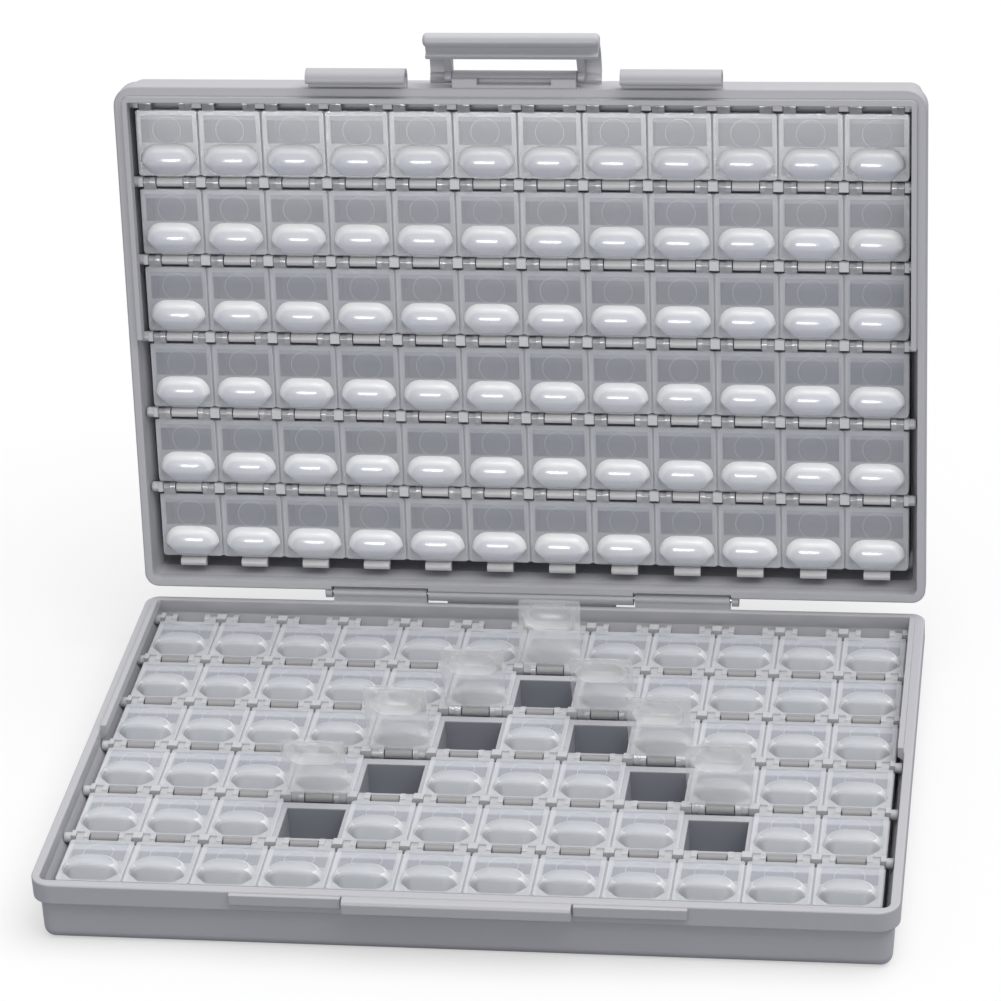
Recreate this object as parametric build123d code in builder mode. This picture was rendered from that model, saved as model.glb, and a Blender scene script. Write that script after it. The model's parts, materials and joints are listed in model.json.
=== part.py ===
# Hinged storage case with two trays of small lidded compartments, in millimetres.
# Origin: centre of the base's underside. +X right, +Y towards the case hinge, +Z up.
# The case stands open on its stop, seven compartment lids stand open.
#
# Every tray is drawn in one tray frame: origin at the centre of the rim plane, z out
# of the open side, y towards the edge where the compartment lids have their hinges.
# A strip and its lids are drawn in a row frame: origin on the row's hinge axis.
import os
from math import atan, cos, degrees, radians, sin, tan
from build123d import *

os.makedirs("parts", exist_ok=True)

# Compartments
columns = 12
rows = 6
column_pitch = 18.5
row_pitch = 23.5
cell_width = 16.4
cell_length = 14.8
cell_depth = 10.95
strip_floor = 1.0
front_wall = 1.7
shelf_width = 2.7
strip_gap = 0.2
strip_corner = 1.5

# Hinge line of a row
first_axis_inset = 5.9
stub_radius = 0.8
stub_length = 3.6
stub_clearance = 0.05
post_width = 2.8
post_rear = 1.6
post_front = 1.2
post_rise = 1.5
peg_radius = 1.5
peg_length = 2.0
peg_clearance = 0.1
bead_radius = 1.35
bead_width = 7.7
bead_web = 1.2

# Compartment lids
lid_width = 17.9
lid_reach = 21.5
lid_start = 2.1
lid_plate = 1.0
lid_top_rise = 0.8
lid_corner = 0.8
seat_gap = 0.05
knuckle_gap = 0.15
bead_gap = 0.3
ear_radius = 1.25
hook_size = 3.0
hook_radius = 1.75
hook_width = 1.5
hook_mouth = 1.3
ear_overlap = 0.3
trough_clearance = 0.4
dome_width = 15.6
dome_start = 12.1
dome_end = 21.0
dome_corner = 4.2
dome_side_length = 0.9
dome_front_width = 8.8
dome_height = 3.3
dome_draft = 32.0
dome_ridge = 17.6
dome_back_height = 1.7
dome_wall = 0.9

# Trays
recess = 4.0
floor_thickness = 2.0
rim_wall = 2.5
rim_height = 6.0
body_inset = 2.0
side_gap = 2.5
end_space = 6.6
lower_gap = 1.0
step_depth = 4.0
step_run = 4.0
front_corner = 6.0
hinge_corner = 4.0
body_corner = 3.4
cavity_corner = 2.2
bottom_round = 3.0
rim_round = 0.5
rail_thickness = 1.6
rail_rise = 1.5
rail_root = 3.0
rail_clearance = 0.25
rail_end_gap = 1.0
rail_hinge_gap = 2.3

# Case hinge
case_open_angle = 98.33
hinge_behind = 1.1
hinge_rise = 2.5
closed_gap = 0.1
barrel_radius = 2.0
knuckle_radius = 2.3
knuckle_half = 30.5
leaf_length = 28.0
ear_length = 2.0
hinge_side_gap = 0.5
leaf_web_front = 0.75
leaf_web_rear = 0.6
leaf_web_drop = 3.0
notch_clearance = 0.3
case_pin_radius = 0.9
case_pin_running = 0.07
case_pin_seat = 0.02
case_pin_grip = 6.0
case_pin_inset = 0.3
stop_width = 50.0
stop_gap = 0.05
stop_thickness = 2.3
stop_reach = 5.5

# Front catch and ridges on the base, hook tubes on the lid
catch_width = 61.0
catch_depth = 2.7
catch_top = 0.4
catch_height = 3.9
catch_round = 1.2
catch_lip_width = 48.0
catch_lip_depth = 2.0
catch_lip_height = 0.7
ridge_gap = 0.5
ridge_width = 30.0
ridge_depth = 1.3
ridge_top = 0.5
ridge_height = 3.0
tube_start = 30.5
tube_length = 28.5
tube_radius = 2.85
tube_wall = 1.2
tube_out = 3.1
tube_forward = 1.2
tube_wrap = 112.0

# Latch bracket and lever
bracket_half = 17.7
bracket_front = 0.2
bracket_slot_width = 21.0
bracket_slot_height = 1.7
bracket_slot_depth = 2.0
bracket_slot_rise = 0.9
pivot_out = 2.6
pivot_back = 3.2
pivot_radius = 1.8
latch_stub_radius = 1.1
latch_stub_clearance = 0.05
latch_stub_length = 2.4
latch_side_gap = 0.2
lever_half = 25.0
lever_lean = 31.0
arm_half = 24.4
lug_width = 2.0
lug_radius = 1.6
heel_radius = 2.3
heel_wall = 1.1
arm_wall = 1.2
back_bulge = 4.4
back_start = 2.0
lip_clearance = 0.3
lip_thickness = 1.1
lip_reach = 1.7
grip_distance = 13.2
grip_drop = 1.3
grip_radius = 2.0
grip_round = 1.2
channel_rise = 0.2
channel_run = 1.2
channel_drop = 0.2

# Opening angle of each lid that stands open in the base, by row and column
raised_lids = {
    (2, 7): 100.0,
    (3, 6): 86.0,
    (3, 8): 77.5,
    (4, 5): 91.0,
    (4, 9): 85.0,
    (5, 4): 77.5,
    (5, 10): 86.5,
}

# Sizes that follow
block_length = columns * column_pitch
case_width = block_length + 2 * (side_gap + rim_wall)
case_depth = first_axis_inset + rows * row_pitch + end_space
half_height = recess + lid_plate + seat_gap + cell_depth + strip_floor + floor_thickness
half_width = case_width / 2
half_depth = case_depth / 2
axis_drop = recess + lid_top_rise
column_centres = [(i - (columns - 1) / 2) * column_pitch for i in range(columns)]
post_centres = [(i - columns / 2) * column_pitch for i in range(columns + 1)]
cavity_half_width = half_width - rim_wall
cavity_half_depth = half_depth - rim_wall
lower_half_width = block_length / 2 + lower_gap
step_inset = cavity_half_width - lower_half_width

# Frames of the two trays
base_frame = Plane.XY.offset(half_height)
case_axis_y = half_depth + hinge_behind
case_axis_z = half_height + hinge_rise
lid_axis_depth = hinge_rise - closed_gap


def opened(y, z):
    """A point of the closed case's upper half, turned up by the open angle."""
    turn = radians(case_open_angle)
    dy = y - case_axis_y
    dz = z - case_axis_z
    return (
        0,
        case_axis_y + dy * cos(turn) + dz * sin(turn),
        case_axis_z - dy * sin(turn) + dz * cos(turn),
    )


lid_frame = Plane(
    origin=opened(0, half_height + closed_gap),
    x_dir=(1, 0, 0),
    z_dir=(0, -sin(radians(case_open_angle)), -cos(radians(case_open_angle))),
)


def row_frame(tray_frame, row, lid_angle=0.0):
    """The frame of one row of a tray, turned with a lid that stands open."""
    axis_y = half_depth - first_axis_inset - (row - 1) * row_pitch
    origin = tray_frame.from_local_coords((0, axis_y, -axis_drop))
    up = tray_frame.z_dir
    rear = tray_frame.y_dir
    lean = radians(lid_angle)
    return Plane(
        origin=origin,
        x_dir=tray_frame.x_dir,
        z_dir=up * cos(lean) + rear * sin(lean),
    )


def finish(piece, name):
    """Name a finished piece and write its file."""
    piece.label = name
    export_step(piece, f"parts/{name}.step")


# Strip of compartments
strip_top = lid_top_rise - lid_plate - seat_gap
strip_bottom = strip_top - cell_depth - strip_floor
trough_floor = -hook_radius - trough_clearance
trough_front = lid_start + bead_gap
cell_start = trough_front + shelf_width
strip_front = cell_start + cell_length + front_wall
strip_rear = row_pitch - strip_front - strip_gap

with BuildPart() as cell_strip:
    with BuildSketch(Plane.XY.offset(strip_bottom)):
        with Locations((0, (strip_rear - strip_front) / 2)):
            RectangleRounded(block_length, strip_rear + strip_front, strip_corner)
    extrude(amount=strip_top - strip_bottom)
    with BuildSketch(Plane.XY.offset(strip_top)):
        with Locations(*[(x, -cell_start - cell_length / 2) for x in column_centres]):
            Rectangle(cell_width, cell_length)
    extrude(amount=-cell_depth, mode=Mode.SUBTRACT)
    # trough under the lids' hooks
    with BuildSketch(Plane.XY.offset(strip_top)):
        with Locations((0, (strip_rear - trough_front) / 2)):
            Rectangle(block_length, strip_rear + trough_front)
    extrude(amount=trough_floor - strip_top, mode=Mode.SUBTRACT)
    # posts between the columns, half a post at each end
    with BuildSketch(Plane.XY.offset(trough_floor)):
        with Locations(*[(x, (post_rear - post_front) / 2) for x in post_centres]):
            Rectangle(post_width, post_rear + post_front)
        Rectangle(block_length, row_pitch, mode=Mode.INTERSECT)
    extrude(amount=post_rise - trough_floor)
    # stub pins on both sides of each post
    with Locations(*[(x, 0, 0) for x in post_centres[1:-1]]):
        Cylinder(stub_radius, post_width + 2 * stub_length, rotation=(0, 90, 0))
    with BuildSketch(Plane.YZ.offset(-block_length / 2)):
        Circle(stub_radius)
    extrude(amount=post_width / 2 + stub_length)
    with BuildSketch(Plane.YZ.offset(block_length / 2)):
        Circle(stub_radius)
    extrude(amount=-post_width / 2 - stub_length)
    # pegs that centre the strip between the tray's sides
    with BuildSketch(Plane.YZ.offset(-block_length / 2)):
        Circle(peg_radius)
    extrude(amount=-peg_length)
    with BuildSketch(Plane.YZ.offset(block_length / 2)):
        Circle(peg_radius)
    extrude(amount=peg_length)
    # finger bead on the front wall, in line with the next row's hinge
    with Locations(*[(x, -row_pitch, 0) for x in column_centres]):
        Cylinder(bead_radius, bead_width, rotation=(0, 90, 0))
    with BuildSketch(Plane.XY.offset(strip_top)):
        with Locations(*[(x, -(strip_front + row_pitch) / 2) for x in column_centres]):
            Rectangle(bead_width, row_pitch - strip_front)
    extrude(amount=-bead_web)

# One compartment lid: plate, two clip-on ears and a hollow dome
ear_inner = bead_width / 2 + bead_gap
ear_outer = column_pitch / 2 - post_width / 2 - knuckle_gap
ear_width = ear_outer - ear_inner
ear_middle = (ear_inner + ear_outer) / 2
plate_bottom = lid_top_rise - lid_plate
dome_side = dome_width / 2
dome_front = dome_front_width / 2
ridge_z = lid_top_rise + dome_height
back_z = lid_top_rise + dome_back_height
hollow_inset = dome_wall / cos(radians(dome_draft)) - lid_plate * tan(radians(dome_draft))


def dome_outline():
    """Plan of the dome: an arch towards the hinge, a blunt wedge to the front."""
    with BuildSketch() as outline:
        with BuildLine():
            arch_x = dome_side - dome_corner
            arch_y = -dome_start - dome_corner
            widest_y = arch_y - dome_side_length
            Line((arch_x, -dome_start), (-arch_x, -dome_start))
            RadiusArc((-arch_x, -dome_start), (-dome_side, arch_y), -dome_corner)
            Polyline(
                (-dome_side, arch_y),
                (-dome_side, widest_y),
                (-dome_front, -dome_end),
                (dome_front, -dome_end),
                (dome_side, widest_y),
                (dome_side, arch_y),
            )
            RadiusArc((dome_side, arch_y), (arch_x, -dome_start), -dome_corner)
        make_face()
    return outline.sketch


def dome_solid(inset):
    """The dome as a solid, or its hollow when it is drawn in by the wall."""
    foot = lid_top_rise if inset == 0 else plate_bottom
    with BuildPart() as dome:
        with BuildSketch(Plane.XY.offset(foot)):
            add(dome_outline())
            if inset > 0:
                offset(amount=-hollow_inset, kind=Kind.INTERSECTION, mode=Mode.REPLACE)
        extrude(amount=ridge_z - inset - foot, taper=dome_draft)
        # the back slopes up to the ridge and the front slopes down from it
        with BuildSketch(Plane.YZ):
            with BuildLine():
                Polyline(
                    (-dome_start + 1, back_z - inset),
                    (-dome_ridge, ridge_z - inset),
                    (-dome_end - 0.3 + inset, lid_top_rise),
                    (-dome_end - 2, lid_top_rise),
                    (-dome_end - 2, ridge_z + 1),
                    (-dome_start + 1, ridge_z + 1),
                    close=True,
                )
            make_face()
        extrude(amount=dome_width, both=True, mode=Mode.SUBTRACT)
    return dome.part


with BuildPart() as cell_lid:
    with BuildSketch(Plane.XY.offset(plate_bottom)):
        with Locations((0, -(lid_start + lid_reach) / 2)):
            RectangleRounded(lid_width, lid_reach - lid_start, lid_corner)
    extrude(amount=lid_plate)
    add(dome_solid(0))
    add(dome_solid(dome_wall), mode=Mode.SUBTRACT)
    # ears: a block each that runs into the plate, a stouter hook at its inner end
    for ear_start_x, hook_start_x in ((-ear_outer, -ear_inner - hook_width), (ear_inner, ear_inner)):
        with BuildSketch(Plane.YZ.offset(ear_start_x)):
            Circle(ear_radius)
            with BuildLine():
                Polyline(
                    (0, ear_radius),
                    (-lid_start - ear_overlap, lid_top_rise),
                    (-lid_start - ear_overlap, plate_bottom),
                    (0, -ear_radius),
                    close=True,
                )
            make_face()
        extrude(amount=ear_width)
        with BuildSketch(Plane.YZ.offset(hook_start_x)):
            Circle(hook_radius)
            Rectangle(hook_size, hook_size, mode=Mode.INTERSECT)
        extrude(amount=hook_width)
    with Locations((-ear_middle, 0, 0), (ear_middle, 0, 0)):
        Cylinder(stub_radius + stub_clearance, ear_width, rotation=(0, 90, 0), mode=Mode.SUBTRACT)
    with BuildSketch(Plane.XY):
        with Locations((-ear_middle, 0), (ear_middle, 0)):
            Rectangle(ear_width, hook_mouth)
    extrude(amount=-hook_radius, mode=Mode.SUBTRACT)

# Strips and lids in both trays
for tray_name, tray_frame in (("base", base_frame), ("lid", lid_frame)):
    for row in range(1, rows + 1):
        with BuildPart(row_frame(tray_frame, row)) as placed_strip:
            add(cell_strip.part)
        finish(placed_strip.part, f"{tray_name}_cell_strip_{row}")
        closed = list(column_centres)
        if tray_name == "base":
            closed = [x for i, x in enumerate(closed) if (row, i + 1) not in raised_lids]
        with BuildPart(row_frame(tray_frame, row)) as lid_row:
            with Locations(*[(x, 0, 0) for x in closed]):
                add(cell_lid.part)
        finish(lid_row.part, f"{tray_name}_cell_lids_row_{row}")

for (row, column), lid_angle in raised_lids.items():
    with BuildPart(row_frame(base_frame, row, lid_angle)) as raised_lid:
        with Locations((column_centres[column - 1], 0, 0)):
            add(cell_lid.part)
    finish(raised_lid.part, f"raised_cell_lid_r{row}_c{column}")

def tray(row_side_corner, far_side_corner):
    """The shell of a half, with a corner radius towards each of its two long edges."""
    with BuildPart() as shell:
        with BuildSketch(Plane.XY.offset(-rim_height)) as rim_plan:
            Rectangle(case_width, case_depth)
            fillet(rim_plan.vertices().group_by(Axis.Y)[-1], row_side_corner)
            fillet(rim_plan.vertices().group_by(Axis.Y)[0], far_side_corner)
        extrude(amount=rim_height)
        fillet(shell.faces().sort_by(Axis.Z)[-1].edges(), rim_round)
        with BuildSketch(Plane.XY.offset(-half_height)):
            RectangleRounded(case_width - 2 * body_inset, case_depth - 2 * body_inset, body_corner)
        extrude(amount=half_height - rim_height)
        fillet(shell.faces().sort_by(Axis.Z)[0].edges(), bottom_round)
        with BuildSketch():
            RectangleRounded(2 * cavity_half_width, 2 * cavity_half_depth, cavity_corner)
        extrude(amount=-step_depth, mode=Mode.SUBTRACT)
        with BuildSketch(Plane.XY.offset(-step_depth)):
            RectangleRounded(2 * cavity_half_width, 2 * cavity_half_depth, cavity_corner)
        extrude(amount=-step_run, taper=degrees(atan(step_inset / step_run)), mode=Mode.SUBTRACT)
        with BuildSketch(Plane.XY.offset(-step_depth - step_run)):
            RectangleRounded(
                2 * (cavity_half_width - step_inset),
                2 * (cavity_half_depth - step_inset),
                cavity_corner - step_inset,
            )
        extrude(amount=step_depth + step_run + floor_thickness - half_height, mode=Mode.SUBTRACT)
        # cradles for the pegs of the strips
        with Locations(
            *[(0, half_depth - first_axis_inset - i * row_pitch, -axis_drop) for i in range(rows)]
        ):
            Cylinder(
                peg_radius + peg_clearance,
                block_length + 2 * (peg_length + peg_clearance),
                rotation=(0, 90, 0),
                mode=Mode.SUBTRACT,
            )
    return shell.part


# Rails: rooted on the wall, their tips enter the other half with clearance
rail_inner = cavity_half_width - rail_clearance - rail_thickness
rail_outer = cavity_half_width - rail_clearance
front_rail_inner = cavity_half_depth - rail_clearance - rail_thickness
front_rail_outer = cavity_half_depth - rail_clearance


def side_rails():
    """The base's two side rails, on the half towards the case hinge."""
    with BuildPart() as rails:
        for side in (-1, 1):
            with BuildSketch(Plane.XZ.offset(-rail_end_gap)):
                with BuildLine():
                    Polyline(
                        (side * rail_inner, -rail_root + rail_thickness),
                        (side * rail_inner, 0),
                        (side * cavity_half_width, 0),
                        (side * cavity_half_width, -rail_root),
                        close=True,
                    )
                make_face()
            extrude(amount=rail_end_gap - cavity_half_depth)
            with BuildSketch(Plane.XZ.offset(-rail_end_gap)):
                with Locations((side * (rail_inner + rail_outer) / 2, rail_rise / 2)):
                    Rectangle(rail_thickness, rail_rise)
            extrude(amount=rail_end_gap - cavity_half_depth + rail_hinge_gap)
    return rails.part


def rail_ring():
    """The lid's rail: along the front, round both corners and halfway down the sides."""
    with BuildPart() as ring:
        with BuildSketch(Plane.XY.offset(-rail_root)):
            RectangleRounded(2 * cavity_half_width, 2 * cavity_half_depth, cavity_corner)
        extrude(amount=rail_root)
        with BuildSketch():
            RectangleRounded(2 * rail_outer, 2 * front_rail_outer, cavity_corner - rail_clearance)
        extrude(amount=rail_rise)
        with BuildSketch(Plane.XY.offset(-rail_root)):
            RectangleRounded(2 * cavity_half_width, 2 * cavity_half_depth, cavity_corner)
        extrude(
            amount=rail_thickness,
            taper=degrees(atan((rail_clearance + rail_thickness) / rail_thickness)),
            mode=Mode.SUBTRACT,
        )
        with BuildSketch(Plane.XY.offset(-rail_root + rail_thickness)):
            RectangleRounded(
                2 * rail_inner,
                2 * front_rail_inner,
                cavity_corner - rail_clearance - rail_thickness,
            )
        extrude(amount=rail_root + rail_rise, mode=Mode.SUBTRACT)
        with BuildSketch(Plane.XY.offset(-rail_root)):
            with Locations((0, rail_end_gap - half_depth)):
                Rectangle(case_width, case_depth)
        extrude(amount=rail_root + rail_rise, mode=Mode.SUBTRACT)
    return ring.part


leaf_start = knuckle_half + hinge_side_gap
leaf_end = leaf_start + leaf_length
ear_start = leaf_end + hinge_side_gap
ear_end = ear_start + ear_length
leaf_middle = (leaf_start + leaf_end) / 2
case_ear_middle = (ear_start + ear_end) / 2

# Base shell: tray, side rails, catch, ridges and hinge leaves
with BuildPart() as base_body:
    add(tray(hinge_corner, front_corner))
    add(side_rails())
    with BuildSketch(Plane.YZ.offset(-catch_width / 2)):
        with Locations((-half_depth - catch_depth / 2, -catch_top - catch_height / 2)):
            Rectangle(catch_depth, catch_height)
    extrude(amount=catch_width)
    front_edges = base_body.edges().filter_by(Axis.X).group_by(Axis.Y)[0]
    fillet(front_edges.sort_by(Axis.Z)[-1], catch_round)
    with BuildSketch(Plane.YZ.offset(-catch_lip_width / 2)):
        with Locations((-half_depth, -catch_top - catch_height)):
            Rectangle(catch_lip_depth, catch_lip_height, align=(Align.MAX, Align.MAX))
    extrude(amount=catch_lip_width)
    ridge_start = catch_width / 2 + ridge_gap
    for side in (-1, 1):
        with BuildSketch(Plane.YZ.offset(side * ridge_start)):
            with Locations((-half_depth, -ridge_top)):
                Rectangle(ridge_depth, ridge_height, align=(Align.MAX, Align.MAX))
        extrude(amount=side * ridge_width)
        with BuildSketch(Plane.YZ.offset(side * leaf_start)):
            with Locations((half_depth + hinge_behind, hinge_rise)):
                Circle(barrel_radius)
            with BuildLine():
                Polyline(
                    (half_depth - leaf_web_front, 0),
                    (half_depth - leaf_web_front, hinge_rise),
                    (half_depth + hinge_behind + leaf_web_rear, hinge_rise),
                    (half_depth + hinge_behind + leaf_web_rear, 0),
                    (half_depth, -leaf_web_drop),
                    (half_depth - leaf_web_front, -leaf_web_drop),
                    close=True,
                )
            make_face()
        extrude(amount=side * leaf_length)
    with Locations(
        (-leaf_middle, half_depth + hinge_behind, hinge_rise),
        (leaf_middle, half_depth + hinge_behind, hinge_rise),
    ):
        Cylinder(
            case_pin_radius + case_pin_running, leaf_length, rotation=(0, 90, 0), mode=Mode.SUBTRACT
        )

with BuildPart(base_frame) as base_shell:
    add(base_body.part)
finish(base_shell.part, "base_shell")

# Lid shell: tray, rails, hook tubes, latch bracket, hinge knuckle, ears and stop
lid_axis_y = -half_depth - hinge_behind
pin_reach = ear_end - case_pin_inset - knuckle_half + case_pin_grip
pin_middle = knuckle_half - case_pin_grip + pin_reach / 2

with BuildPart() as lid_body:
    add(tray(front_corner, hinge_corner))
    add(rail_ring())
    # hook tubes that reach over the base's ridges
    for side in (-1, 1):
        with BuildSketch(Plane.YZ.offset(side * tube_start)):
            tube_centre_y = half_depth + tube_out
            tube_mid_radius = tube_radius - tube_wall / 2
            with BuildLine() as tube_line:
                Line((half_depth, tube_forward - tube_mid_radius), (tube_centre_y, tube_forward - tube_mid_radius))
                CenterArc((tube_centre_y, tube_forward), tube_mid_radius, -90, 90 + tube_wrap)
            trace(line_width=tube_wall)
        extrude(amount=side * tube_length)
    # latch bracket with its slot and pivot stubs
    with BuildSketch(Plane.YZ.offset(-bracket_half)):
        with Locations((half_depth, -bracket_front)):
            Rectangle(
                pivot_out, pivot_back + pivot_radius - bracket_front, align=(Align.MIN, Align.MAX)
            )
        with Locations((half_depth + pivot_out, -pivot_back)):
            Circle(pivot_radius)
    extrude(amount=2 * bracket_half)
    with BuildSketch(Plane.XY.offset(-bracket_front)):
        with Locations((0, half_depth + bracket_slot_rise + bracket_slot_height / 2)):
            Rectangle(bracket_slot_width, bracket_slot_height)
    extrude(amount=-bracket_slot_depth, mode=Mode.SUBTRACT)
    with Locations((0, half_depth + pivot_out, -pivot_back)):
        Cylinder(
            latch_stub_radius, 2 * (bracket_half + latch_stub_length), rotation=(0, 90, 0)
        )
    # room for the base's hinge leaves
    with Locations(
        (-leaf_middle, lid_axis_y, -lid_axis_depth), (leaf_middle, lid_axis_y, -lid_axis_depth)
    ):
        Cylinder(
            barrel_radius + notch_clearance,
            leaf_length + 2 * hinge_side_gap,
            rotation=(0, 90, 0),
            mode=Mode.SUBTRACT,
        )
    with BuildSketch(Plane.XY):
        with Locations((-leaf_middle, lid_axis_y), (leaf_middle, lid_axis_y)):
            Rectangle(leaf_length + 2 * hinge_side_gap, 2 * (barrel_radius + notch_clearance))
    extrude(amount=-lid_axis_depth, mode=Mode.SUBTRACT)
    # knuckle between the leaves, one ear beyond each leaf
    with Locations((0, lid_axis_y, -lid_axis_depth)):
        Cylinder(knuckle_radius, 2 * knuckle_half, rotation=(0, 90, 0))
    with Locations(
        (-case_ear_middle, lid_axis_y, -lid_axis_depth),
        (case_ear_middle, lid_axis_y, -lid_axis_depth),
    ):
        Cylinder(barrel_radius, ear_length, rotation=(0, 90, 0))
    # stop that meets the base's rear wall when the case is open
    open_turn = radians(case_open_angle)
    stop_plane = Plane(
        origin=(-stop_width / 2, lid_axis_y, -lid_axis_depth),
        x_dir=(0, -cos(open_turn), -sin(open_turn)),
        z_dir=(1, 0, 0),
    )
    with BuildSketch(stop_plane):
        with Locations((stop_gap - hinge_behind, 0)):
            Rectangle(stop_thickness, stop_reach, align=(Align.MIN, Align.MAX))
    extrude(amount=stop_width)
    # bores of the two hinge pins
    with Locations((-pin_middle, lid_axis_y, -lid_axis_depth), (pin_middle, lid_axis_y, -lid_axis_depth)):
        Cylinder(
            case_pin_radius + case_pin_seat,
            pin_reach + 2 * case_pin_inset,
            rotation=(0, 90, 0),
            mode=Mode.SUBTRACT,
        )

with BuildPart(lid_frame) as lid_shell:
    add(lid_body.part)
finish(lid_shell.part, "lid_shell")

# Hinge pins
for pin_name, side in (("left", -1), ("right", 1)):
    with BuildPart(Plane.YZ.offset(side * pin_middle)) as hinge_pin:
        with Locations((case_axis_y, case_axis_z, 0)):
            Cylinder(case_pin_radius, pin_reach)
        chamfer(hinge_pin.edges().filter_by(GeomType.CIRCLE), case_pin_inset)
    finish(hinge_pin.part, f"hinge_pin_{pin_name}")

# Latch lever, drawn about its pivot: y towards the grip, z towards the catch
lip_near = pivot_back + closed_gap + catch_top + catch_height + catch_lip_height + lip_clearance
lip_far = lip_near + lip_thickness
lug_start = bracket_half + latch_side_gap
catch_side = pivot_out - catch_depth - lip_clearance

with BuildPart() as grip_roll:
    with Locations((0, grip_distance, -grip_drop)):
        Cylinder(grip_radius, 2 * lever_half, rotation=(0, 90, 0))
    fillet(grip_roll.edges().filter_by(GeomType.CIRCLE), grip_round)

with BuildPart() as lever_body:
    # curved back with a heel round the pivot: arms beside the bracket, whole width beyond
    with BuildSketch(Plane.YZ.offset(-arm_half)):
        with BuildLine():
            back_line = ThreePointArc(
                (-back_start / 2, -back_start),
                (grip_distance / 2, -back_bulge),
                (grip_distance, -grip_drop - grip_radius + arm_wall / 2),
            )
        trace(line_width=arm_wall)
    extrude(amount=2 * arm_half)
    with BuildSketch(Plane.YZ.offset(-arm_half)):
        with BuildLine():
            heel_line = CenterArc((0, 0), heel_radius - heel_wall / 2, 170, 95)
        trace(line_width=heel_wall)
    extrude(amount=2 * arm_half)
    with BuildSketch(Plane.XY):
        Rectangle(2 * lug_start, 2 * lip_near)
    extrude(amount=2 * grip_distance, both=True, mode=Mode.SUBTRACT)
    # hook lip, shallow channel above it and grip roll
    with BuildSketch(Plane.YZ.offset(-arm_half)):
        with Locations((lip_near, lip_reach)):
            Rectangle(lip_thickness, lip_reach + back_bulge - arm_wall / 2, align=(Align.MIN, Align.MAX))
        with BuildLine():
            Polyline(
                (lip_near, channel_rise),
                (lip_far, channel_rise),
                (grip_distance - channel_run, -channel_drop),
                (grip_distance, -grip_drop),
                (grip_distance, -grip_drop - grip_radius / 2),
                (lip_near, -back_bulge + arm_wall),
                close=True,
            )
        make_face()
    extrude(amount=2 * arm_half)
    add(grip_roll.part)
    for side in (-1, 1):
        # lug with the pivot bore
        with BuildSketch(Plane.YZ.offset(side * lug_start)):
            Circle(lug_radius)
            with BuildLine():
                Polyline(
                    (0, catch_side),
                    (lip_far, catch_side),
                    (lip_far, -back_bulge + arm_wall / 2),
                    (0, -back_start - arm_wall / 2),
                    close=True,
                )
            make_face()
        extrude(amount=side * lug_width)
    with Locations((0, 0, 0)):
        Cylinder(
            latch_stub_radius + latch_stub_clearance,
            2 * lever_half,
            rotation=(0, 90, 0),
            mode=Mode.SUBTRACT,
        )

lean = radians(lever_lean)
with BuildPart(
    Plane(
        origin=lid_frame.from_local_coords((0, half_depth + pivot_out, -pivot_back)),
        x_dir=lid_frame.x_dir,
        z_dir=lid_frame.z_dir * cos(lean) - lid_frame.y_dir * sin(lean),
    )
) as latch_lever:
    add(lever_body.part)
finish(latch_lever.part, "latch_lever")
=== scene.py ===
import json
from math import cos, pi, radians, sin

import bmesh
import bpy
from mathutils import Matrix, Vector


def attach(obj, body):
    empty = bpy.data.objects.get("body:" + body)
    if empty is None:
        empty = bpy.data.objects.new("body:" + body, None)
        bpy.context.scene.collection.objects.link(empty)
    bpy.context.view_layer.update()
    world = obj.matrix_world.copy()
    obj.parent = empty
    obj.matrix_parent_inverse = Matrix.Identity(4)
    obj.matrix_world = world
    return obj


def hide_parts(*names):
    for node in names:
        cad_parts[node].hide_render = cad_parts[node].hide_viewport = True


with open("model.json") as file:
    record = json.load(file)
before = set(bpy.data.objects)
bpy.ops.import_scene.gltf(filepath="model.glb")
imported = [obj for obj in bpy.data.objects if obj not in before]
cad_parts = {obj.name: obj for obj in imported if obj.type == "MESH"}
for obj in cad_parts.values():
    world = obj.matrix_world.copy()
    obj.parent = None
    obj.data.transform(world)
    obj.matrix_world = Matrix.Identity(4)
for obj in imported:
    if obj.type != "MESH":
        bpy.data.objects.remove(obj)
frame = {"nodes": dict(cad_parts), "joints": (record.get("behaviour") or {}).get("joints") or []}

# Dresses an open storage case: two moulded trays of clip-lidded compartments and a front latch.

scene = bpy.context.scene
nodes = frame["nodes"]
joints = {joint["name"]: joint for joint in frame["joints"]}
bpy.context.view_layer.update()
mm = 0.001
print("frame loaded:", len(nodes), "nodes")

# The grid of compartments, and how far each tray is turned up from lying flat and open
caseGrid = {"columns": 12, "rows": 6, "pitch": 18.5 * mm}
trayTurn = {"base": 0, "lid": 180 + joints["case_hinge"]["range_deg"][0]}  # degrees


def hingeLine(tray, row):
    # the middle of a row's hinge line, with x along it and z out of the tray
    middle = Matrix.Translation(joints[f"{tray}_row_{row}_hinge"]["pos_m"])
    return middle @ Matrix.Rotation(radians(trayTurn[tray]), 4, "X")


def columnPlace(column):
    return (column - (caseGrid["columns"] + 1) / 2) * caseGrid["pitch"]


# Camera
cameraView = {
    "lens": 144.75,
    "sensor": 36,
    "reach": 20,
    "place": (0.161319, -0.939790, 0.616406),
    "turn": (61.326, 3.012, 7.773),  # degrees
}
cameraData = bpy.data.cameras.new("camera")
cameraData.lens = cameraView["lens"]
cameraData.sensor_width = cameraView["sensor"]
cameraData.clip_end = cameraView["reach"]
camera = bpy.data.objects.new("camera", cameraData)
camera.location = cameraView["place"]
camera.rotation_euler = [radians(turn) for turn in cameraView["turn"]]
scene.collection.objects.link(camera)
scene.camera = camera
print("camera set")


# Materials
def newMaterial(name):
    material = bpy.data.materials.new(name)
    material.use_nodes = True
    tree = material.node_tree
    return material, tree, tree.nodes["Principled BSDF"]


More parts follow.
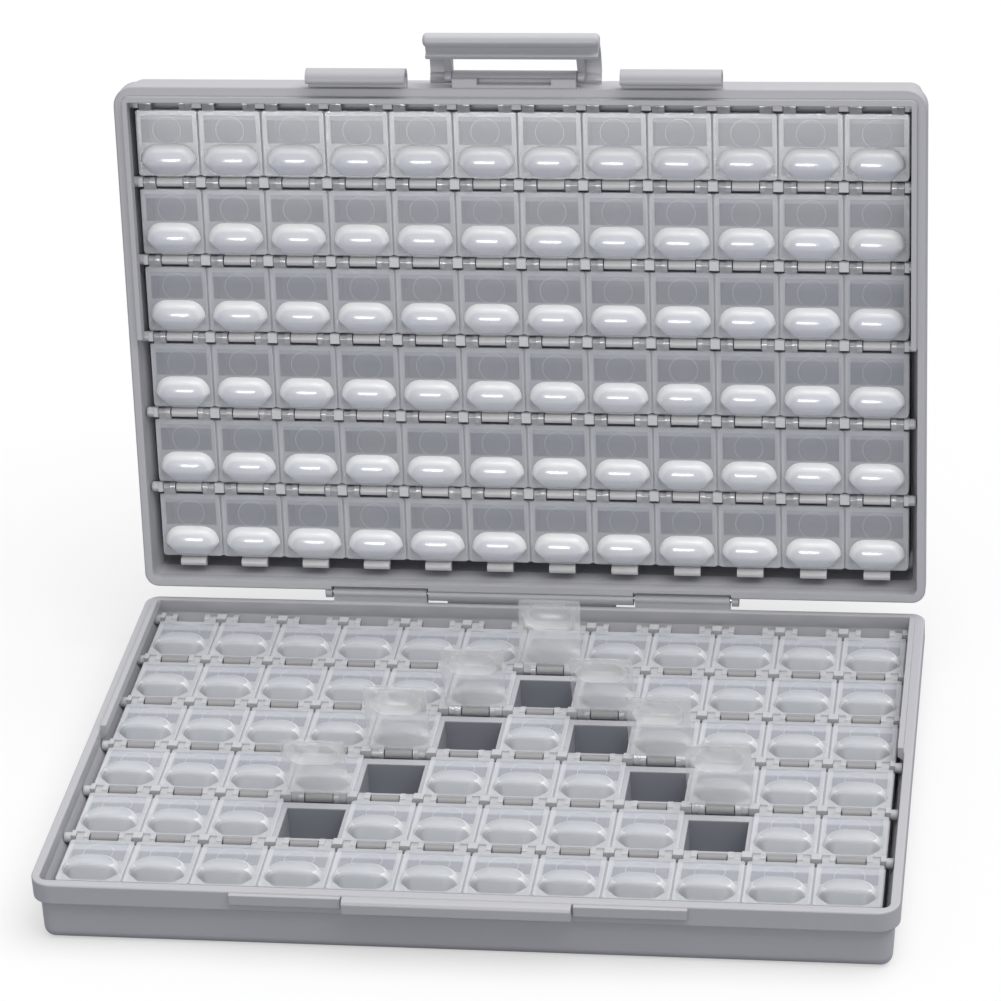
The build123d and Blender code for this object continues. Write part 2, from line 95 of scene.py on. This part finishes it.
def noiseNode(tree, scale, detail):
    coords = tree.nodes.new("ShaderNodeTexCoord")
    noise = tree.nodes.new("ShaderNodeTexNoise")
    noise.inputs["Scale"].default_value = scale
    noise.inputs["Detail"].default_value = detail
    tree.links.new(coords.outputs["Object"], noise.inputs["Vector"])
    return noise


def mathNode(tree, operation, first, second):
    # two inputs, each a socket or a number
    step = tree.nodes.new("ShaderNodeMath")
    step.operation = operation
    for place, value in enumerate((first, second)):
        if isinstance(value, (int, float)):
            step.inputs[place].default_value = value
        else:
            tree.links.new(value, step.inputs[place])
    return step.outputs[0]


mouldMarks = {"cloudDetail": 3, "cloudSpan": (0.3, 0.7), "grainDetail": 4, "edgeSamples": 4}


def colorDrift(tree, shader, look):
    # the colour drifts slowly between two near tones
    cloud = noiseNode(tree, look["cloudScale"], mouldMarks["cloudDetail"])
    ramp = tree.nodes.new("ShaderNodeValToRGB")
    tones = (look["darkColor"], look["lightColor"])
    for end, position, tone in zip(ramp.color_ramp.elements, mouldMarks["cloudSpan"], tones):
        end.position = position
        end.color = (*tone, 1)
    tree.links.new(cloud.outputs["Fac"], ramp.inputs["Fac"])
    tree.links.new(ramp.outputs["Color"], shader.inputs["Base Color"])


def grainBump(tree, shader, look):
    # fine grain of the mould or the drawing die, over edges that a small round softens
    grain = noiseNode(tree, look["grainScale"], mouldMarks["grainDetail"])
    bump = tree.nodes.new("ShaderNodeBump")
    bump.inputs["Strength"].default_value = look["grainStrength"]
    bump.inputs["Distance"].default_value = look["grainDepth"]
    tree.links.new(grain.outputs["Fac"], bump.inputs["Height"])
    if "edgeRadius" in look:
        softEdge = tree.nodes.new("ShaderNodeBevel")
        softEdge.samples = mouldMarks["edgeSamples"]
        softEdge.inputs["Radius"].default_value = look["edgeRadius"]
        tree.links.new(softEdge.outputs["Normal"], bump.inputs["Normal"])
    tree.links.new(bump.outputs["Normal"], shader.inputs["Normal"])


def mouldedPlastic(name, look):
    material, tree, shader = newMaterial(name)
    colorDrift(tree, shader, look)
    grainBump(tree, shader, look)
    shader.inputs["Roughness"].default_value = look["roughness"]
    shader.inputs["Specular IOR Level"].default_value = look["shine"]
    shader.inputs["Alpha"].default_value = look["opacity"]
    if "glow" in look:
        shader.inputs["Subsurface Weight"].default_value = look["glow"]
        shader.inputs["Subsurface Radius"].default_value = (1, 1, 1)
        shader.inputs["Subsurface Scale"].default_value = look["glowDepth"]
    return material


casePlastic = {
    "darkColor": (0.455, 0.455, 0.485),
    "lightColor": (0.485, 0.485, 0.512),
    "cloudScale": 6,
    "grainScale": 2600,
    "grainStrength": 0.35,
    "grainDepth": 0.1 * mm,
    "edgeRadius": 0.4 * mm,
    "roughness": 0.45,
    "shine": 0.5,
    "opacity": 1,
}
leverPlastic = dict(casePlastic, darkColor=(0.525, 0.525, 0.555), lightColor=(0.555, 0.555, 0.58))
caseMaterial = mouldedPlastic("grey case plastic", casePlastic)
leverMaterial = mouldedPlastic("light grey lever plastic", leverPlastic)

stripPlastic = {
    "darkColor": (0.455, 0.46, 0.488),
    "lightColor": (0.485, 0.49, 0.515),
    "cloudScale": 9,
    "grainScale": 2600,
    "grainStrength": 0.25,
    "grainDepth": 0.1 * mm,
    "edgeRadius": 0.3 * mm,
    "roughness": 0.42,
    "shine": 0.5,
    "opacity": 1,
    # painted shade: the strip plastic darker down in the cells
    "cellShadeTone": (0.32, 0.33, 0.37),
    # the posts' own lighter colour with painted light over it, more in the lid tray than in the
    # base
    "postToneAndLight": {"base": (0.54, 0.545, 0.56), "lid": (0.64, 0.64, 0.66)},
    # painted shade on the base's bridges, painted light on the lid's
    "bridgeShadeAndLight": {"base": (0.30, 0.295, 0.30), "lid": (0.74, 0.73, 0.73)},
    "postHalf": 1.5 * mm,
    "bridgeHalf": 4.2 * mm,
    "topLevel": -0.1 * mm,  # heights from the hinge line
    "cellLevel": -0.6 * mm,
}


def stripShadeAndLight(material, tray):
    # painted shade down in the cells, and a tone each for the posts and bridges that stand at the
    # top: the posts' own lighter colour with painted light over it, painted shade on the base's
    # bridges and painted light on the lid's
    look = stripPlastic
    tree = material.node_tree
    shader = tree.nodes["Principled BSDF"]
    firstLine = hingeLine(tray, 1)
    coords = tree.nodes.new("ShaderNodeTexCoord")
    trayCoords = tree.nodes.new("ShaderNodeMapping")
    trayCoords.vector_type = "TEXTURE"
    trayCoords.inputs["Location"].default_value = firstLine.to_translation()
    trayCoords.inputs["Rotation"].default_value = firstLine.to_euler()
    axes = tree.nodes.new("ShaderNodeSeparateXYZ")
    tree.links.new(coords.outputs["Object"], trayCoords.inputs["Vector"])
    tree.links.new(trayCoords.outputs["Vector"], axes.inputs["Vector"])
    along, height = axes.outputs["X"], axes.outputs["Z"]
    toMiddle = caseGrid["pitch"] / 2
    fromPost = mathNode(tree, "PINGPONG", along, toMiddle)
    nearPost = mathNode(tree, "LESS_THAN", fromPost, look["postHalf"])
    nearBridge = mathNode(tree, "GREATER_THAN", fromPost, toMiddle - look["bridgeHalf"])
    atTop = mathNode(tree, "GREATER_THAN", height, look["topLevel"])
    # masks for the painted shade in the cells and the painted light and shade on the posts and
    # bridges
    cellShadeMask = mathNode(tree, "LESS_THAN", height, look["cellLevel"])
    postToneAndLightMask = mathNode(tree, "MULTIPLY", nearPost, atTop)
    bridgeShadeAndLightMask = mathNode(tree, "MULTIPLY", nearBridge, atTop)
    tone = shader.inputs["Base Color"].links[0].from_socket
    for mask, color in ((cellShadeMask, look["cellShadeTone"]), (postToneAndLightMask, look["postToneAndLight"][tray]),
                        (bridgeShadeAndLightMask, look["bridgeShadeAndLight"][tray])):
        mix = tree.nodes.new("ShaderNodeMix")
        mix.data_type = "RGBA"
        mix.inputs["B"].default_value = (*color, 1)
        tree.links.new(mask, mix.inputs["Factor"])
        tree.links.new(tone, mix.inputs["A"])
        tone = mix.outputs["Result"]
    tree.links.new(tone, shader.inputs["Base Color"])


stripMaterials = {}
# each tray's strip plastic carries its own painted light and shade on the posts and bridges
for tray in trayTurn:
    stripMaterials[tray] = mouldedPlastic(f"grey {tray} strip plastic", stripPlastic)
    stripShadeAndLight(stripMaterials[tray], tray)

pinSteel = {
    "color": (0.6, 0.6, 0.62),
    "roughness": 0.3,
    "grainScale": 900,
    "grainStrength": 0.1,
    "grainDepth": 0.05 * mm,
}


def drawnSteel(name, look):
    material, tree, shader = newMaterial(name)
    shader.inputs["Base Color"].default_value = (*look["color"], 1)
    shader.inputs["Metallic"].default_value = 1
    shader.inputs["Roughness"].default_value = look["roughness"]
    grainBump(tree, shader, look)
    return material


pinMaterial = drawnSteel("drawn steel wire", pinSteel)


def materialFor(name):
    if "strip" in name:
        return stripMaterials[name.split("_")[0]]
    if "pin" in name:
        return pinMaterial
    if "lever" in name:
        return leverMaterial
    return caseMaterial


for name, node in nodes.items():
    for slot in node.material_slots:
        slot.material = materialFor(name)

windowPlastic = {
    "darkColor": (0.80, 0.83, 0.91),
    "lightColor": (0.86, 0.88, 0.94),
    "cloudScale": 60,
    "grainScale": 1500,
    "grainStrength": 0.1,
    "grainDepth": 0.1 * mm,
    "roughness": 0.14,
    "shine": 0.5,
    "opacity": 0.27,
}
frostedPlastic = dict(windowPlastic, opacity=0.42, grainStrength=0.2,
                      darkColor=(0.84, 0.86, 0.90), lightColor=(0.88, 0.90, 0.93))
earPlastic = dict(windowPlastic, opacity=0.5,
                  darkColor=(0.72, 0.73, 0.75), lightColor=(0.78, 0.79, 0.81))
domePlastic = {
    "darkColor": (0.87, 0.90, 0.95),
    "lightColor": (0.91, 0.93, 0.97),
    "cloudScale": 60,
    "grainScale": 1200,
    "grainStrength": 0.08,
    "grainDepth": 0.1 * mm,
    "roughness": 0.16,
    "shine": 0.5,
    "opacity": 0.93,
}
# painted light: the dome's rounded edge is whiter and more opaque than its crown
paintedBrightBandPlastic = dict(domePlastic, opacity=0.97,
                   darkColor=(0.91, 0.92, 0.94), lightColor=(0.95, 0.955, 0.96))
# painted light: the open lids' plastic is painted whiter than the other domes, for light that
# passes through them
paintedBacklitPlastic = dict(domePlastic, glow=1, glowDepth=5 * mm, roughness=0.3,
                  darkColor=(0.97, 0.97, 0.98), lightColor=(0.98, 0.985, 0.99))
# one dome plastic in three copies of painted light and shade: nearly opaque white in the upper
# tray as painted light from above, clearer over the base's dark cells as painted shade, and
# painted whiter and lit through where a lid stands open
domeFinishes = {
    "paintedTopLight": {
        "crown": domePlastic,
        "edge": paintedBrightBandPlastic,
        "front": domePlastic,
    },
    "clear": {
        "crown": dict(domePlastic, opacity=0.36),
        "edge": dict(paintedBrightBandPlastic, opacity=0.56),
        "front": dict(domePlastic, opacity=0.3),
    },
    "lit": {
        "crown": dict(paintedBacklitPlastic, opacity=0.42),
        "edge": dict(paintedBacklitPlastic, opacity=0.55),
        "front": dict(paintedBacklitPlastic, opacity=0.42),
    },
}
windowMaterial = mouldedPlastic("clear lid window", windowPlastic)
frostedMaterial = mouldedPlastic("frosted lid plate", frostedPlastic)
earMaterial = mouldedPlastic("lid ear", earPlastic)
# painted light: an open lid's plate and window in the same whiter plastic
paintedBacklitPlate = mouldedPlastic("lit lid plate", dict(paintedBacklitPlastic, opacity=0.22))
lidMaterials = {}
for finish, looks in domeFinishes.items():
    window, plate = (paintedBacklitPlate, paintedBacklitPlate) if finish == "lit" else (windowMaterial, frostedMaterial)
    lidMaterials[finish] = {"window": window, "plate": plate, "ear": earMaterial}
    for part, look in looks.items():
        lidMaterials[finish][part] = mouldedPlastic(f"{finish} dome {part}", look)
print("materials set")

# One compartment lid, in millimetres about its hinge line: x along the hinge, the plate
# towards -y, z up. A corner is its size and the number of its steps.
cellLid = {
    "width": 17.9,
    "near": 2.1,
    "far": 21.5,
    "top": 0.8,
    "wall": 0.9,
    "corner": (0.8, 3),
    "windowStart": 3.5,
    "windowEnd": 11.7,
    "windowHalf": 7.6,
    "ringAt": 7.9,
    "ringRadius": 4.0,
    "ringWidth": 0.18,
    "ringLift": 0.02,
    "ringSteps": 24,
    "domeWidth": 16.2,
    "domeBack": 12.1,
    "domeFront": 21.0,
    "domeFrontWidth": 9.8,
    "sideEnd": 17.3,
    "backCorner": (4.8, 6),
    "sideCorner": (0.8, 2),
    "frontCorner": (1.0, 3),
    "band": 1.7,
    "bandSteps": 3,
    "ridge": 18.0,
    "backHeight": 3.3,
    "ridgeHeight": 3.75,
    "frontReach": 21.35,
    "ridgeRound": 1.4,
    "ridgeCut": 0.9,
    "sideCut": 2.4,
    "sideDrop": 0.45,
    "earInner": 4.15,
    "earOuter": 7.7,
    "earRadius": 1.25,
    "earReach": 2.3,
    "earCorner": (1.0, 3),
    "hookSize": 3.0,
    "hookWidth": 1.5,
    "hookCorner": (0.45, 2),
    "sharpAngle": 42,  # degrees
}
lidParts = ("window", "plate", "crown", "ear", "edge", "front")  # in the order of material slots
slotOf = {part: slot for slot, part in enumerate(lidParts)}


def facesOf(shape, *parts):
    slots = [slotOf[part] for part in parts]
    return [f for f in shape.faces if f.material_index in slots]


def cutAcross(shape, faces, place, normal):
    # new edges where a plane crosses the faces
    edges = list(dict.fromkeys(e for f in faces for e in f.edges))
    verts = list(dict.fromkeys(v for f in faces for v in f.verts))
    bmesh.ops.bisect_plane(shape, geom=faces + edges + verts, plane_co=place, plane_no=normal)


def roundedFace(shape, points, z, roundings):
    # a flat face with rounded corners, each kind of corner given with the points that have it
    corners = [shape.verts.new((x, y, z)) for x, y in points]
    shape.faces.new(corners)
    for (size, steps), chosen in roundings:
        bmesh.ops.bevel(shape, geom=[corners[i] for i in chosen], offset=size, segments=steps,
                        profile=0.5, affect="VERTICES", material=-1)
    shape.faces.ensure_lookup_table()
    return shape.faces[-1]


def domeHeight(x, y):
    # height over the plate: up from the back to a rounded ridge, then down to the front,
    # and lower at the sides
    lid = cellLid
    share = (-lid["domeBack"] - y) / (lid["ridge"] - lid["domeBack"])
    rising = lid["backHeight"] + share * (lid["ridgeHeight"] - lid["backHeight"])
    share = (y + lid["frontReach"]) / (lid["frontReach"] - lid["ridge"])
    falling = max(share, 0) * lid["ridgeHeight"]
    near = max(lid["ridgeRound"] - abs(rising - falling), 0) / lid["ridgeRound"]
    middle = min(rising, falling) - near * near * lid["ridgeRound"] / 4
    aside = x / (lid["domeWidth"] / 2)
    return middle * (1 - lid["sideDrop"] * aside * aside)


def raiseDome(shape):
    # rings that climb a quarter round from the dome's outline to its crown
    lid = cellLid
    top = lid["top"]
    crown = facesOf(shape, "crown")[0]
    middle = Matrix.Translation((0, (lid["domeBack"] + lid["domeFront"]) / 2, 0))
    halfWide = lid["domeWidth"] / 2
    halfDeep = (lid["domeFront"] - lid["domeBack"]) / 2
    done = 0
    for step in range(1, lid["bandSteps"] + 1):
        climb = pi / 2 * step / lid["bandSteps"]
        reach = lid["band"] * (1 - cos(climb))
        ring = bmesh.ops.inset_region(shape, faces=[crown], thickness=0, use_even_offset=False)
        for face in ring["faces"]:
            face.material_index = slotOf["edge"]
        narrower = (halfWide - reach) / (halfWide - done)
        shorter = (halfDeep - reach) / (halfDeep - done)
        bmesh.ops.scale(shape, vec=(narrower, shorter, 1), space=middle, verts=crown.verts)
        for vert in crown.verts:
            vert.co.z = top + sin(climb)  # a share of the height, until the last lines
        done = reach
    cuts = [((0, cut * lid["ridgeCut"] - lid["ridge"], top), (0, 1, 0)) for cut in (-1, 0, 1)]
    cuts += [((cut * lid["sideCut"], 0, top), (1, 0, 0)) for cut in (-2, -1, 1, 2)]
    for place, normal in cuts:
        cutAcross(shape, facesOf(shape, "crown", "edge"), place, normal)
    for face in facesOf(shape, "crown", "edge"):
        if face.calc_center_median().y < -lid["ridge"]:
            face.material_index = slotOf["front"]
    for vert in {v for f in facesOf(shape, "crown", "edge", "front") for v in f.verts}:
        vert.co.z = top + (vert.co.z - top) * domeHeight(vert.co.x, vert.co.y)


def addRing(shape):
    # the faint round mark that the mould leaves on each window
    lid = cellLid
    place = Matrix.Translation((0, -lid["ringAt"], lid["top"] + lid["ringLift"]))
    inner = bmesh.ops.create_circle(shape, segments=lid["ringSteps"], radius=lid["ringRadius"],
                                    matrix=place)
    edges = list(dict.fromkeys(e for v in inner["verts"] for e in v.link_edges))
    outer = bmesh.ops.extrude_edge_only(shape, edges=edges)
    verts = [g for g in outer["geom"] if isinstance(g, bmesh.types.BMVert)]
    wider = 1 + lid["ringWidth"] / lid["ringRadius"]
    bmesh.ops.scale(shape, vec=(wider, wider, 1), space=place.inverted(), verts=verts)
    for face in [g for g in outer["geom"] if isinstance(g, bmesh.types.BMFace)]:
        face.material_index = slotOf["plate"]
        if face.normal.z < 0:
            face.normal_flip()


def lidSheet():
    # plate and dome as one sheet, then a wall under it
    lid = cellLid
    top = lid["top"]
    shape = bmesh.new()
    plateHalf = lid["width"] / 2
    plate = roundedFace(shape, ((plateHalf, -lid["near"]), (-plateHalf, -lid["near"]),
                                (-plateHalf, -lid["far"]), (plateHalf, -lid["far"])),
                        top, ((lid["corner"], (0, 1, 2, 3)),))
    rim = list(plate.edges)
    bmesh.ops.delete(shape, geom=[plate], context="FACES_ONLY")
    domeHalf = lid["domeWidth"] / 2
    frontHalf = lid["domeFrontWidth"] / 2
    dome = roundedFace(shape, ((domeHalf, -lid["domeBack"]), (-domeHalf, -lid["domeBack"]),
                               (-domeHalf, -lid["sideEnd"]), (-frontHalf, -lid["domeFront"]),
                               (frontHalf, -lid["domeFront"]), (domeHalf, -lid["sideEnd"])),
                       top, ((lid["backCorner"], (0, 1)), (lid["sideCorner"], (2, 5)),
                             (lid["frontCorner"], (3, 4))))
    dome.material_index = slotOf["crown"]
    filled = bmesh.ops.triangle_fill(shape, edges=rim + list(dome.edges), use_beauty=True,
                                     use_dissolve=False)
    for face in [g for g in filled["geom"] if isinstance(g, bmesh.types.BMFace)]:
        face.material_index = slotOf["plate"]
    raiseDome(shape)
    for place, normal in (((0, -lid["windowEnd"], top), (0, 1, 0)),
                          ((0, -lid["windowStart"], top), (0, 1, 0)),
                          ((-lid["windowHalf"], 0, top), (1, 0, 0)),
                          ((lid["windowHalf"], 0, top), (1, 0, 0))):
        cutAcross(shape, facesOf(shape, "plate"), place, normal)
    for face in facesOf(shape, "plate"):
        middle = face.calc_center_median()
        inside = -lid["windowEnd"] < middle.y < -lid["windowStart"]
        if inside and abs(middle.x) < lid["windowHalf"]:
            face.material_index = slotOf["window"]
    shape.normal_update()
    if sum(f.normal.z for f in shape.faces) < 0:
        bmesh.ops.reverse_faces(shape, faces=shape.faces)
    bmesh.ops.solidify(shape, geom=list(shape.faces), thickness=lid["wall"])
    addRing(shape)
    return shape


def addBlock(shape, points, roundings, start, width):
    # a profile in y and z, drawn out along x
    block = bmesh.new()
    profile = roundedFace(block, points, 0, roundings)
    drawn = bmesh.ops.extrude_face_region(block, geom=[profile])
    moved = [g for g in drawn["geom"] if isinstance(g, bmesh.types.BMVert)]
    bmesh.ops.translate(block, vec=(0, 0, width), verts=moved)
    for face in block.faces:
        face.material_index = slotOf["ear"]
    bmesh.ops.recalc_face_normals(block, faces=block.faces)
    standUp = Matrix(((0, 0, 1, start), (1, 0, 0, 0), (0, 1, 0, 0), (0, 0, 0, 1)))
    bmesh.ops.transform(block, matrix=standUp, verts=block.verts)
    piece = bpy.data.meshes.new("block")
    block.to_mesh(piece)
    block.free()
    shape.from_mesh(piece)
    bpy.data.meshes.remove(piece)


def lidMesh():
    # the sheet, with two ears and their clip hooks under its hinge side
    lid = cellLid
    shape = lidSheet()
    radius = lid["earRadius"]
    earSide = ((radius, radius), (0, radius), (-lid["earReach"], lid["top"]),
               (-lid["earReach"], lid["top"] - lid["wall"]), (0, -radius), (radius, -radius))
    earWidth = lid["earOuter"] - lid["earInner"]
    size = lid["hookSize"] / 2
    hookSide = ((size, size), (-size, size), (-size, -size), (size, -size))
    for earStart, hookStart in ((-lid["earOuter"], -lid["earInner"] - lid["hookWidth"]),
                                (lid["earInner"], lid["earInner"])):
        addBlock(shape, earSide, ((lid["earCorner"], (0, 5)),), earStart, earWidth)
        addBlock(shape, hookSide, ((lid["hookCorner"], (0, 1, 2, 3)),), hookStart,
                 lid["hookWidth"])
    bmesh.ops.scale(shape, vec=(mm, mm, mm), verts=shape.verts)
    mesh = bpy.data.meshes.new("one lid")
    shape.to_mesh(mesh)
    shape.free()
    return mesh


oneLid = lidMesh()
print("lid shape:", len(oneLid.polygons), "faces")


def placeLids(name, node, body, places, materials):
    shape = bmesh.new()
    for place in places:
        copy = oneLid.copy()
        copy.transform(place)
        shape.from_mesh(copy)
        bpy.data.meshes.remove(copy)
    mesh = bpy.data.meshes.new(name)
    shape.to_mesh(mesh)
    shape.free()
    for part in lidParts:
        mesh.materials.append(materials[part])
    mesh.shade_smooth()
    mesh.set_sharp_from_angle(angle=radians(cellLid["sharpAngle"]))
    lids = bpy.data.objects.new(name, mesh)
    scene.collection.objects.link(lids)
    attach(lids, body)
    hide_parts(node)


raised = {}
for name in joints:
    if name.startswith("raised"):
        row, column = name.split("_")[1:3]
        raised[(int(row[1:]), int(column[1:]))] = name

for row in range(1, caseGrid["rows"] + 1):
    # the base's lids get the clearer copy with painted shade, the lid tray's the copy with
    # painted light
    for tray, finish in (("base", "clear"), ("lid", "paintedTopLight")):
        places = [hingeLine(tray, row) @ Matrix.Translation((columnPlace(column), 0, 0))
                  for column in range(1, caseGrid["columns"] + 1)
                  if tray == "lid" or (row, column) not in raised]
        placeLids(f"{tray}_lids_{row}", f"{tray}_cell_lids_row_{row}", f"{tray}_lids_row_{row}",
                  places, lidMaterials[finish])
# the open lids get the whiter copy with painted light
for (row, column), name in raised.items():
    hinge = joints[name]
    opened = Matrix.Rotation(radians(hinge["range_deg"][0]), 4, "X")
    placeLids(f"raised_lid_{row}_{column}", f"raised_cell_lid_r{row}_c{column}", hinge["child"],
              [Matrix.Translation(hinge["pos_m"]) @ opened], lidMaterials["lit"])
print("lids placed:", len(raised), "stand open")

# Floor and light
studio = {
    "floorSize": 8.0,
    "floorSeen": (0.86, 0.86, 0.86),
    "floorLit": (0.33, 0.335, 0.38),
    "floorGlow": 0.5,
    "skyStrength": 0.5,
    "skySeen": 1.0,
    "keyStrength": 2.25,
    "keySpread": 60,  # degrees
    "keyFrom": (0.35, -0.06, 1.1),
    "keyAim": (0, 0, 0),
    "lampPower": 10,
    "lampSize": (0.6, 0.08),
    "lampFrom": (-0.17, -1.2, 0.08),
    "lampAim": (0.0, 0.08, 0.1),
}


def whiteFloor():
    # bright to the eye, and darker where it throws light back on the case
    material, tree, shader = newMaterial("white floor")
    rays = tree.nodes.new("ShaderNodeLightPath")
    seen = rays.outputs["Is Camera Ray"]
    tone = tree.nodes.new("ShaderNodeMix")
    tone.data_type = "RGBA"
    tone.inputs["A"].default_value = (*studio["floorLit"], 1)
    tone.inputs["B"].default_value = (*studio["floorSeen"], 1)
    tree.links.new(seen, tone.inputs["Factor"])
    tree.links.new(tone.outputs["Result"], shader.inputs["Base Color"])
    shader.inputs["Roughness"].default_value = 1
    shader.inputs["Specular IOR Level"].default_value = 0
    white = tree.nodes.new("ShaderNodeEmission")
    blend = tree.nodes.new("ShaderNodeMixShader")
    tree.links.new(mathNode(tree, "MULTIPLY", seen, studio["floorGlow"]), blend.inputs["Fac"])
    tree.links.new(shader.outputs["BSDF"], blend.inputs[1])
    tree.links.new(white.outputs["Emission"], blend.inputs[2])
    tree.links.new(blend.outputs["Shader"], tree.nodes["Material Output"].inputs["Surface"])
    return material


def makeFloor():
    shape = bmesh.new()
    bmesh.ops.create_grid(shape, x_segments=1, y_segments=1, size=studio["floorSize"] / 2)
    mesh = bpy.data.meshes.new("floor")
    shape.to_mesh(mesh)
    shape.free()
    mesh.materials.append(whiteFloor())
    floor = bpy.data.objects.new("floor", mesh)
    scene.collection.objects.link(floor)


def makeSky():
    # full white where it is seen straight, in gloss or through clear plastic, weaker as a light
    world = bpy.data.worlds.new("studio")
    scene.world = world
    world.use_nodes = True
    tree = world.node_tree
    sky = tree.nodes["Background"]
    sky.inputs["Color"].default_value = (1, 1, 1, 1)
    rays = tree.nodes.new("ShaderNodeLightPath").outputs
    seen = mathNode(tree, "MAXIMUM", rays["Is Camera Ray"], rays["Is Glossy Ray"])
    direct = mathNode(tree, "MAXIMUM", seen, rays["Is Transmission Ray"])
    strength = tree.nodes.new("ShaderNodeMapRange")
    strength.inputs["To Min"].default_value = studio["skyStrength"]
    strength.inputs["To Max"].default_value = studio["skySeen"]
    tree.links.new(direct, strength.inputs["Value"])
    tree.links.new(strength.outputs["Result"], sky.inputs["Strength"])


def addLight(name, kind, power, place, aim):
    data = bpy.data.lights.new(name, kind)
    data.energy = power
    light = bpy.data.objects.new(name, data)
    light.location = place
    light.rotation_euler = (Vector(aim) - Vector(place)).to_track_quat("-Z", "Y").to_euler()
    scene.collection.objects.link(light)
    return light


makeFloor()
makeSky()
key = addLight("key light", "SUN", studio["keyStrength"], studio["keyFrom"], studio["keyAim"])
key.data.angle = radians(studio["keySpread"])
# a low lamp in front, which draws the bright line on each dome's ridge
lamp = addLight("strip light", "AREA", studio["lampPower"], studio["lampFrom"], studio["lampAim"])
lamp.data.shape = "RECTANGLE"
lamp.data.size, lamp.data.size_y = studio["lampSize"]
lamp.visible_camera = False
lamp.visible_diffuse = False
scene.view_settings.view_transform = "Standard"
print("floor and light set")
